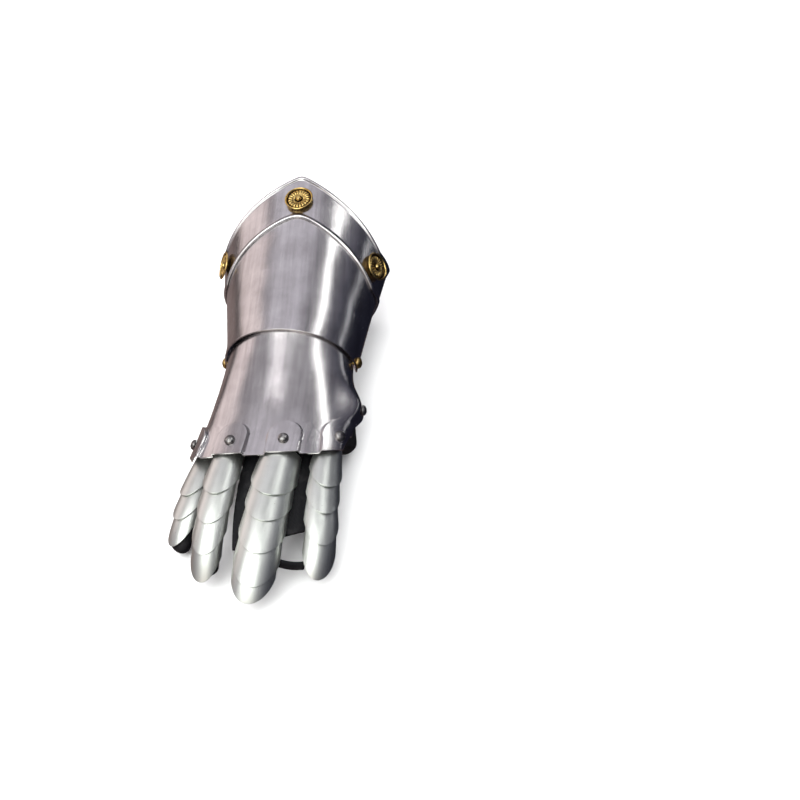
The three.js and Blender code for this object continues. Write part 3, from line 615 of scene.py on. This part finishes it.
def plate_section(turn, share, inset=0.0):
    fall = 1 - (1 - share) ** 2
    power = mix(2, KNUCKLE_SQUARENESS, share * share)
    half = mix(PLATE_WRIST_HALF, KNUCKLE_HALF_WIDTH, np.maximum(share, 0) ** 1.4) - inset
    base = mix(0, KNUCKLE_BASE, share)
    rise = mix(PLATE_WRIST_RISE, KNUCKLE_RISE, fall) - base - inset
    angle = np.radians(np.clip(turn, -90, 90))
    below = np.maximum(0, np.abs(turn) - 90) / 10
    length = plate_reach(turn)
    swell = smooth(55, 85, turn) * np.exp(-(((share * length - THUMB_BOSS_PLACE) / THUMB_BOSS_REACH) ** 2))
    tuck = SKIRT_TUCK * below * (1 - share) * np.sign(turn)
    x = half * bent(np.sin(angle), power) + THUMB_BOSS_HEIGHT * swell - tuck
    skirt = below * (mix(SKIRT_WRIST, SKIRT_KNUCKLE, share) + THUMB_BOSS_HEIGHT * swell)
    z = base + rise * bent(np.cos(angle), power) - skirt
    return np.stack([x, -share * length, PIVOT_HEIGHT + z], -1)


def boss_lift(turn, share):
    lift = np.zeros(np.broadcast(turn, share).shape)
    here = plate_section(turn, share)
    for row in FINGERS.values():
        centre = plate_section(row["turn"] + 0 * turn, share)
        side = np.hypot(here[..., 0] - centre[..., 0], here[..., 2] - centre[..., 2])
        back = np.maximum(0, (1 - share) * plate_reach(turn) - (BOSS_LENGTH - BOSS_HALF_WIDTH))
        away = np.hypot(side, back)
        lift = np.maximum(lift, BOSS_HEIGHT * smooth(BOSS_HALF_WIDTH, BOSS_HALF_WIDTH - BOSS_SLOPE, away))
    return lift


def plate_point(turn, share, depth):
    turn, share = np.broadcast_arrays(np.asarray(turn, float), np.asarray(share, float))
    front = np.maximum(share, 0.0)
    _, normal = lifted(plate_section, np.clip(turn, -99, 99), np.maximum(front, 0.002), 0 * turn)
    flank = np.stack([np.sign(turn), 0 * turn, 0 * turn], -1)
    normal = np.where((np.abs(turn) >= 90)[..., None], flank, normal)
    body = plate_section(turn, front) + normal * (boss_lift(turn, front) - depth)[..., None]
    body[..., 0] -= SIDE_PULL * front ** 7 * smooth(62, 92, turn)
    start = plate_section(turn, 0 * share, depth)
    height = np.maximum(0, start[..., 2] - PIVOT_HEIGHT)
    swing = math.radians(TAIL_TURN) * -share
    tab = PLATE_TAB * -share * (1 - height / PLATE_WRIST_RISE)
    x = start[..., 0] * (1 + 0.03 * share * height / PLATE_WRIST_RISE)
    z = start[..., 2] - height * (1 - np.cos(swing))
    tail = np.stack([x, height * np.sin(swing) + tab, z], -1)
    return np.where((share < 0)[..., None], tail, body)


# %% Hand plate
plate_turns = np.linspace(-100, 100, 321)[:, None]
tail_part, arch_part, knuckle_part = (-1, -0.15, 6), (0, 0.64, 32), (0.65, 1, 62)
plate_shares = np.concatenate([np.linspace(*part) for part in (tail_part, arch_part, knuckle_part)])[None, :]
trim = CORNER_CUT * smooth(74, 88, plate_turns) * smooth(0.6, 1, plate_shares) / plate_reach(plate_turns)
plate_out = plate_point(plate_turns, plate_shares - trim, 0)
plate_in = plate_point(plate_turns, plate_shares - trim, SHEET)
hand_plate = sheet_piece(
    "steel_hand_plate", plate_out, plate_in, grain_of(plate_out), soft=0.35,
    body="hand", finish=plate_steel, slot="plate_steel", nodes=["hand_plate"],
)
print("hand plate:", len(hand_plate.data.polygons), "faces")


# %% Knuckle and thumb rivets
def on_plate(turn, share):
    point = plate_point(turn, share, 0)
    across = plate_point(turn + 0.5, share, 0) - plate_point(turn - 0.5, share, 0)
    along = plate_point(turn, share + 0.005, 0) - plate_point(turn, share - 0.005, 0)
    normal = unit(np.cross(across, along))
    angle = math.radians(turn)
    return point, normal * (1 if normal[0] * math.sin(angle) + normal[2] * math.cos(angle) > 0 else -1)


rivet_places = [("thumb_rivet", THUMB_RIVET_TURN, THUMB_BOSS_PLACE / plate_reach(THUMB_RIVET_TURN))]
for name, row in FINGERS.items():
    share = 1 - RIVET_FROM_EDGE / plate_reach(row["turn"])
    rivet_places.append((f"knuckle_rivet_{name}", row["turn"], share))
for node, turn, share in rivet_places:
    place, normal = on_plate(turn, share)
    tail = THUMB_TAIL_GAP if node == "thumb_rivet" else TAIL_GAP
    turned_piece(
        f"steel_{node}", rivet_profile(KNUCKLE_HEAD, SHEET + tail), place, normal, 40,
        body="hand", finish=rivet_steel, slot="rivet_steel", nodes=[node],
    )
print("hand rivets:", len(rivet_places))

# %% [markdown]
# ## Fingers
#
# Each finger follows one curve from the knuckles down to its tip near the floor. The
# leather finger is a tube round that curve. The steel plates lie over it like tiles:
# every plate starts under the one before it and ends in a rounded tongue.

# %% A finger's curve and its frame
def root_height(x, half):
    turn = np.linspace(-90, 90, 61)
    roof = plate_section(turn, PALM_FRONT / plate_reach(turn), SHEET)
    side = np.abs(roof[:, 0] - x) / half
    near = side < 1
    return (roof[near, 2] - half * FINGER_FLATNESS * np.sqrt(1 - side[near] ** 2)).min()


def finger_curve(row):
    reach = row["halves"][0] + GAP + SHEET + ROOT_GAP
    root = np.array([row["root_x"], -FINGER_ROOT, root_height(row["root_x"], reach)])
    tip = np.array([row["tip_x"], -PLATE_LENGTH - row["past"], row["halves"][1] * TIP_STAND])
    across, along = mix(root[0], tip[0], BEND_ACROSS), mix(root[1], tip[1], BEND_ALONG)
    return root, np.array([across, along, root[2] + BEND_RISE]), tip


def finger_frame(name, share):
    """Centre, side, up and forward directions at shares of the finger's length."""
    row = FINGERS[name]
    root, bend, tip = finger_curve(row)
    fine = np.linspace(0, 1, 201)[:, None]
    line = root * (1 - fine) ** 2 + 2 * bend * fine * (1 - fine) + tip * fine ** 2
    run = np.concatenate([[0], np.cumsum(np.linalg.norm(np.diff(line, axis=0), axis=1))])
    inside = np.clip(share, 0, 1)
    t = np.interp(inside * run[-1], run, fine[:, 0])[..., None]
    centre = root * (1 - t) ** 2 + 2 * bend * t * (1 - t) + tip * t ** 2
    forward = unit((bend - root) * (1 - t) + (tip - bend) * t)
    swing = PLATE_ENDS[name]["swing"]
    swung = np.maximum(0, inside - SWING_FROM) / (1 - SWING_FROM)
    centre[..., 0] -= swing * swung ** 2
    forward[..., 0] -= swing * 2 * swung / ((1 - SWING_FROM) * run[-1])
    forward = unit(forward)
    centre = centre + forward * ((share - inside) * run[-1])[..., None]
    roll = math.radians(row["roll"]) * (1 - 0.3 * share)
    up = np.stack([np.sin(roll), 0 * roll, np.cos(roll)], -1)
    up = unit(up - forward * np.sum(up * forward, -1, keepdims=True))
    return centre, np.cross(up, forward), up, run[-1]


def finger_length(name):
    return finger_frame(name, np.zeros(1))[3]


def round_finger(name, share, turn, out):
    """A point on the finger's oval section, some way out from the leather."""
    share, turn, out = np.broadcast_arrays(np.asarray(share, float), turn, out)
    centre, side, up, _ = finger_frame(name, share)
    half = mix(*FINGERS[name]["halves"], np.clip(share, 0, 1))
    angle = np.radians(turn)
    across, rise = (half + out) * np.sin(angle), (half * FINGER_FLATNESS + out) * np.cos(angle)
    return centre + side * across[..., None] + up * rise[..., None]


# %% Finger plates
def lame_start(name, number):
    if number:
        return PLATE_ENDS[name]["ends"][number - 1] - LAME_OVERLAP
    return plate_reach(FINGERS[name]["turn"]) - LAME_TUCK - FINGER_ROOT


def lame_lift(name, number):
    """How far a plate rises along its length, so that the next one slips under it."""
    ends = PLATE_ENDS[name]["ends"]
    if number == len(ends) - 1:
        return LAST_LIFT
    length = ends[number] - lame_start(name, number) - (0 if number else LAME_EDGE_CURVE)
    next_rise = lame_lift(name, number + 1) * LAME_OVERLAP / (ends[number + 1] - ends[number] + LAME_OVERLAP)
    return 1.06 * max((SHEET + GAP) / (1 - LAME_OVERLAP / length), SHEET + GAP + next_rise)


def make_lame(name, number):
    length = finger_length(name)
    begin, finish = lame_start(name, number), PLATE_ENDS[name]["ends"][number]
    turn = np.linspace(-LAME_TURN, LAME_TURN, 61)[:, None]
    part = np.linspace(0, 1, 22)[None, :]
    back = LAME_EDGE_CURVE * (turn / LAME_TURN) ** 2
    place = mix(begin - back if number else begin + 0 * back, finish - back, part)
    out = GAP + lame_lift(name, number) * part + 0 * turn
    outer = round_finger(name, place / length, turn, out + SHEET)
    inner = round_finger(name, place / length, turn, out)
    node = f"{name}_lame_{number + 1}"
    sheet_piece(
        f"steel_{node}", outer, inner, grain_of(outer), soft=0.35,
        body="hand", finish=finger_steel, slot="finger_steel", nodes=[node],
    )


for name in FINGERS:
    for number in range(len(PLATE_ENDS[name]["ends"])):
        make_lame(name, number)
print("finger plates:", sum(len(row["ends"]) for row in PLATE_ENDS.values()))


# %% Leather fingers
def closed_rings(rings):
    """Faces of a body through closed rings, with a cap on each end."""
    count, rows = rings.shape[1], rings.shape[0]
    faces = []
    for ring in range(rows - 1):
        for index in range(count):
            a, b = ring * count + index, ring * count + (index + 1) % count
            faces.append((a, b, b + count, a + count))
    faces.append(tuple(range(count)))
    faces.append(tuple(range((rows - 1) * count, rows * count))[::-1])
    return faces


def make_leather_finger(name):
    length = finger_length(name)
    end = PLATE_ENDS[name]["leather"]
    turn = np.linspace(0, 360, 64, endpoint=False)[None, :]
    tip = FINGERS[name]["halves"][1]
    close = tip * 0.75
    rounded = end - close + close * np.sin(np.linspace(0.03, 0.5, 16) * math.pi)
    place = np.concatenate([np.linspace(0, end - close, 70), rounded])[:, None]
    out = 0 * place
    for crease in (0.36, 0.66, 0.86):
        out = out - 0.45 * np.exp(-(((place - crease * end) / 1.6) ** 2))
    last = np.clip((place - end + close) / close, 0, 1)
    out = out - tip * 0.8 * (1 - np.sqrt(1 - 0.97 * last ** 2)) + 0 * turn
    outer = round_finger(name, place / length + 0 * turn, turn + 0 * place, out)
    outer[..., 2] = np.maximum(outer[..., 2], 0.05)
    hollow_place = np.linspace(end - 2.4 * LEATHER, 0, 30)[:, None]
    hollow = round_finger(name, hollow_place / length + 0 * turn, turn + 0 * hollow_place, -LEATHER)
    hollow[..., 2] = np.maximum(hollow[..., 2], LEATHER)
    rings = np.concatenate([hollow, outer])
    return make_piece(
        f"leather_{name}_finger", rings.reshape(-1, 3), closed_rings(rings),
        body="hand", finish=leather, slot="leather", nodes=[f"glove_{name}_finger"],
    )


for name in FINGERS:
    make_leather_finger(name)
print("leather fingers:", len(FINGERS))

# %% [markdown]
# ## The glove's palm
#
# The palm and thumb are one soft body. Its solid is rounded by remeshing a copy in small
# cubes and relaxing it, which softens the flat facets. Its pebbles and creases come from
# the leather's finish alone.

# %% Palm and thumb
def make_palm():
    source = frame["nodes"]["glove_palm"]
    mesh = source.data.copy()
    mesh.name = "leather_palm"
    palm = bpy.data.objects.new("leather_palm", mesh)
    bpy.context.scene.collection.objects.link(palm)
    remesh = palm.modifiers.new("small_cubes", "REMESH")
    remesh.mode, remesh.voxel_size = "VOXEL", 0.0009
    relax = palm.modifiers.new("relax", "SMOOTH")
    relax.factor, relax.iterations = 0.5, 12
    bpy.context.view_layer.update()
    shaped = bpy.data.meshes.new_from_object(palm.evaluated_get(bpy.context.evaluated_depsgraph_get()))
    palm.modifiers.clear()
    palm.data = shaped
    shaped.materials.clear()
    shaped.materials.append(leather)
    shaped.polygons.foreach_set("use_smooth", [True] * len(shaped.polygons))
    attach(palm, "hand")
    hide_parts("glove_palm")
    print("palm:", len(shaped.polygons), "faces")


make_palm()


# %% Leather webs between the fingers
def web_flank(name, place, towards, drop):
    """Points beside a finger, just clear of it and a little under its middle."""
    share = np.asarray(place, float) / finger_length(name)
    centre = finger_frame(name, share)[0]
    level = centre[..., 2] - drop
    turn = np.linspace(40, 170, 131)[:, None] * towards
    ring = round_finger(name, share[None, :], turn, 1.3 * GAP)
    near = np.abs(ring[..., 2] - level[None, :]) < WEB_SHEET
    x = np.where(near, ring[..., 0] * towards, -np.inf).max(0) * towards
    return np.stack([x, centre[..., 1], level], -1)


def make_web(first, second, first_end, second_end, narrowing):
    along = np.linspace(0, 1, 60)
    left = web_flank(first, mix(GAP * 2, first_end, along), 1, WEB_DROP)
    right = web_flank(second, mix(GAP * 2, second_end, along), -1, WEB_DROP)
    narrow = mix(1, narrowing, along ** 2)[None, :, None]
    across = np.linspace(0, 1, 20)[:, None, None]
    share = mix((1 - narrow) * 0.5, 1 - (1 - narrow) * 0.5, across)
    web = left[None] * (1 - share) + right[None] * share
    web[:, 0, 1] = -PALM_FRONT - GAP
    lift = np.array([0, 0, WEB_SHEET / 2])
    piece = sheet_piece(
        f"leather_web_{first}_{second}", web + lift, web - lift, grain_of(web), soft=0.5,
        body="hand", finish=leather, slot="leather", nodes=[f"glove_web_{first}_{second}"],
    )
    print(piece.name, len(piece.data.polygons), "faces")


for row in WEBS:
    make_web(*row)


# %% The loop between two fingers
def make_loop():
    start, end = (
        round_finger(name, LOOP_PLACE / finger_length(name), turn, LOOP_STAND)
        for name, turn in (("middle", LOOP_TURN), ("index", -LOOP_TURN - FINGERS["index"]["roll"]))
    )
    sag = (start + end) / 2 - np.array([0, LOOP_BOW, LOOP_BOW])
    rings = []
    for t in np.linspace(0, 1, 25):
        centre = start * (1 - t) ** 2 + 2 * sag * t * (1 - t) + end * t ** 2
        forward = unit((sag - start) * (1 - t) + (end - sag) * t)
        side = unit(np.cross(np.array([0, 0, 1.0]), forward))
        up = np.cross(forward, side)
        angle = np.linspace(0, 2 * math.pi, 24, endpoint=False)[:, None]
        flat = bent(np.cos(angle), 3) * LEATHER * 0.9
        rings.append(centre + side * flat + up * bent(np.sin(angle), 3) * LOOP_WIDTH / 2)
    rings = np.array(rings)
    make_piece(
        "leather_finger_loop", rings.reshape(-1, 3), closed_rings(rings),
        body="hand", finish=leather, slot="leather", nodes=["finger_loop"],
    )


make_loop()
print("loop made")

# %% [markdown]
# ## Camera, floor and light
#
# The camera was fitted to points of the photograph. A pale floor carries the gauntlet.
# Polished steel shows its surroundings, so a long soft box over the arm draws the bright
# band down the plates, and dimmer boxes fill the sides.

# %% Camera
AIM = Vector(((83.47 + SHIFT[0]) / 1000, (-25.2 + SHIFT[1]) / 1000, 0.030))
AZIMUTH, ELEVATION, ROLL_ANGLE, DISTANCE, FOCAL = 20.3, 46.86, -15.0, 1.20291, 1678.58
a, e, r = (math.radians(value) for value in (AZIMUTH, ELEVATION, ROLL_ANGLE))
back = Vector((math.sin(a) * math.cos(e), -math.cos(a) * math.cos(e), math.sin(e)))
right = Vector((math.cos(a), math.sin(a), 0))
up = back.cross(right)
right_rolled = right * math.cos(r) + up * math.sin(r)
up_rolled = up * math.cos(r) - right * math.sin(r)
camera_data = bpy.data.cameras.new("camera")
camera_data.lens, camera_data.sensor_width = FOCAL * 36 / 800, 36
camera_data.clip_start, camera_data.clip_end = 0.05, 20
camera = bpy.data.objects.new("camera", camera_data)
turned = Matrix((right_rolled, up_rolled, back)).transposed().to_4x4()
camera.matrix_world = Matrix.Translation(AIM + back * DISTANCE) @ turned
bpy.context.scene.collection.objects.link(camera)
bpy.context.scene.camera = camera
print("camera lens:", round(camera_data.lens, 2), "mm")


# %% Floor
def make_floor():
    finish = Finish("pale_floor")
    place = finish.node("ShaderNodeTexCoord", {}, output=3)
    cloud = finish.noise(place, detail=2.0, scale=9.0)
    finish.set(
        Base_Color=finish.colours(cloud, (0.86, 0.86, 0.86), (0.9, 0.9, 0.9)), Roughness=0.9,
        Normal=finish.bump(finish.noise(place, scale=400.0), 0.0001),
    )
    mesh = bpy.data.meshes.new("floor")
    reach = 6.0
    corners = [(reach * x, reach * y, 0) for x, y in ((-1, -1), (1, -1), (1, 1), (-1, 1))]
    mesh.from_pydata(corners, [], [(0, 1, 2, 3)])
    mesh.materials.append(finish.material)
    floor = bpy.data.objects.new("floor", mesh)
    bpy.context.scene.collection.objects.link(floor)
    floor.visible_glossy = False


make_floor()


# %% Soft boxes
def soft_box(name, place, size, power, colour, seen=True):
    data = bpy.data.lights.new(name, "AREA")
    data.shape, data.size, data.size_y = "RECTANGLE", size[0], size[1]
    data.energy, data.color = power, colour
    box = bpy.data.objects.new(name, data)
    toward = (Vector(place) - Vector((0, 0, 0.04))).normalized()
    along = (Vector((0, 1, 0)) - toward * toward.y).normalized()
    turned = Matrix((along.cross(toward), along, toward)).transposed().to_4x4()
    box.matrix_world = Matrix.Translation(place) @ turned
    box.visible_glossy = seen
    bpy.context.scene.collection.objects.link(box)
    return box


soft_box("long_box", (0.6, 0.38, 1.03), (0.12, 1.1), 2.0, (0.98, 1.0, 0.97))
soft_box("wrist_box", (-0.36, -0.12, 1.24), (0.16, 0.95), 0.95, (1.0, 0.98, 0.99))
soft_box("right_strip", (1.15, 0.6, 0.22), (0.035, 0.9), 0.3, (0.95, 0.98, 1.0))
soft_box("left_box", (-1.1, 0.5, 0.55), (0.8, 1.3), 2.4, (1.0, 0.85, 0.8))
soft_box("top_box", (-0.25, 0.75, 1.0), (0.8, 0.7), 0.75, (0.93, 0.92, 1.0))
soft_box("front_box", (-0.15, -0.72, 1.3), (1.3, 1.0), 13.0, (0.96, 1.0, 0.96))
soft_box("low_box", (-0.3, -1.5, 0.45), (1.6, 0.7), 3.2, (1.0, 0.92, 0.8))
soft_box("floor_box", (0.2, -0.2, 2.2), (4.4, 4.4), 150, (1.0, 1.0, 1.0), seen=False)


def make_world():
    """Pinkish on the left, dark on the right, with a dark line at the horizon."""
    world = bpy.data.worlds.new("studio")
    bpy.context.scene.world = world
    world.use_nodes = True
    tree = world.node_tree
    sky = tree.nodes.new("ShaderNodeTexCoord")
    parts = tree.nodes.new("ShaderNodeSeparateXYZ")
    tree.links.new(sky.outputs["Generated"], parts.inputs[0])
    sides = {
        "left": [(0.0, (0.26, 0.2, 0.19)), (0.42, (0.26, 0.2, 0.19)), (0.47, (0.02, 0.018, 0.02)),
                 (0.52, (0.03, 0.028, 0.03)), (0.6, (0.3, 0.28, 0.3)), (1.0, (0.34, 0.33, 0.36))],
        "right": [(0.0, (0.012, 0.012, 0.02)), (0.56, (0.012, 0.013, 0.025)), (0.72, (0.1, 0.1, 0.13)),
                  (1.0, (0.34, 0.33, 0.36))],
    }
    ramps = {}
    for side, stops in sides.items():
        shift = tree.nodes.new("ShaderNodeMath")
        shift.operation = "MULTIPLY_ADD"
        shift.inputs[1].default_value, shift.inputs[2].default_value = 0.5, 0.5
        ramp = tree.nodes.new("ShaderNodeValToRGB")
        points = ramp.color_ramp.elements
        while len(points) < len(stops):
            points.new(1.0)
        for point, (place, colour) in zip(points, stops):
            point.position, point.color = place, (*colour, 1)
        tree.links.new(parts.outputs["Z"], shift.inputs[0])
        tree.links.new(shift.outputs[0], ramp.inputs[0])
        ramps[side] = ramp
    across = tree.nodes.new("ShaderNodeMapRange")
    across.interpolation_type = "SMOOTHSTEP"
    across.inputs[1].default_value, across.inputs[2].default_value = -0.4, 0.3
    blend = tree.nodes.new("ShaderNodeMix")
    blend.data_type = "RGBA"
    tree.links.new(parts.outputs["X"], across.inputs[0])
    tree.links.new(across.outputs[0], blend.inputs[0])
    tree.links.new(ramps["left"].outputs["Color"], blend.inputs[6])
    tree.links.new(ramps["right"].outputs["Color"], blend.inputs[7])
    tree.links.new(blend.outputs[2], tree.nodes["Background"].inputs["Color"])


make_world()
bpy.context.scene.view_settings.view_transform = "Standard"
